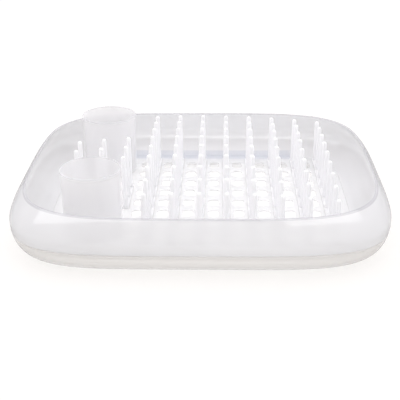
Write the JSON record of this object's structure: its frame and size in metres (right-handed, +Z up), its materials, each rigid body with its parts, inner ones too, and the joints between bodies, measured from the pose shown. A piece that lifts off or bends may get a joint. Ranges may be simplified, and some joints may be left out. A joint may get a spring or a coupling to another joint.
{
  "type": "dish drying rack",
  "caption": "Low translucent plastic dish drainer: bowl-shaped wall, slotted floor, upright pegs and open cutlery cups, seated on a shallow drip tray.",
  "frame": {"origin": "centre of the tray's flat base, on the surface that the rack stands on", "axes": "+X along the long side, away from the cutlery cups; +Y towards the back; +Z up"},
  "size_m": [0.46, 0.385, 0.095],
  "materials": {
    "tray_plastic": "translucent moulded polypropylene, glossy outside",
    "bowl_plastic": "translucent moulded polypropylene, glossy",
    "floor_plastic": "translucent moulded polypropylene, satin",
    "peg_plastic": "milky moulded polypropylene, satin",
    "cup_plastic": "translucent moulded polypropylene, satin"
  },
  "bodies": {
    "tray": {"drip_tray": "tray_plastic"},
    "drainer": {"drainer_bowl": "bowl_plastic", "drain_floor": "floor_plastic", "peg_column_01": "peg_plastic", "peg_column_02": "peg_plastic", "peg_column_03": "peg_plastic", "peg_column_04": "peg_plastic", "peg_column_05": "peg_plastic", "peg_column_06": "peg_plastic", "peg_column_07": "peg_plastic", "peg_column_08": "peg_plastic", "peg_column_09": "peg_plastic", "peg_column_10": "peg_plastic", "peg_column_11": "peg_plastic"},
    "cup_back": {"cutlery_cup_back": "cup_plastic"},
    "cup_front": {"cutlery_cup_front": "cup_plastic"}
  },
  "joints": [
    {"name": "drainer_lift", "type": "slide", "parent": "tray", "child": "drainer", "axis": [0, 0, 1], "range_m": [0, 0.08]},
    {"name": "cup_back_lift", "type": "slide", "parent": "drainer", "child": "cup_back", "axis": [0, 0, 1], "range_m": [0, 0.085]},
    {"name": "cup_front_lift", "type": "slide", "parent": "drainer", "child": "cup_front", "axis": [0, 0, 1], "range_m": [0, 0.085]}
  ]
}
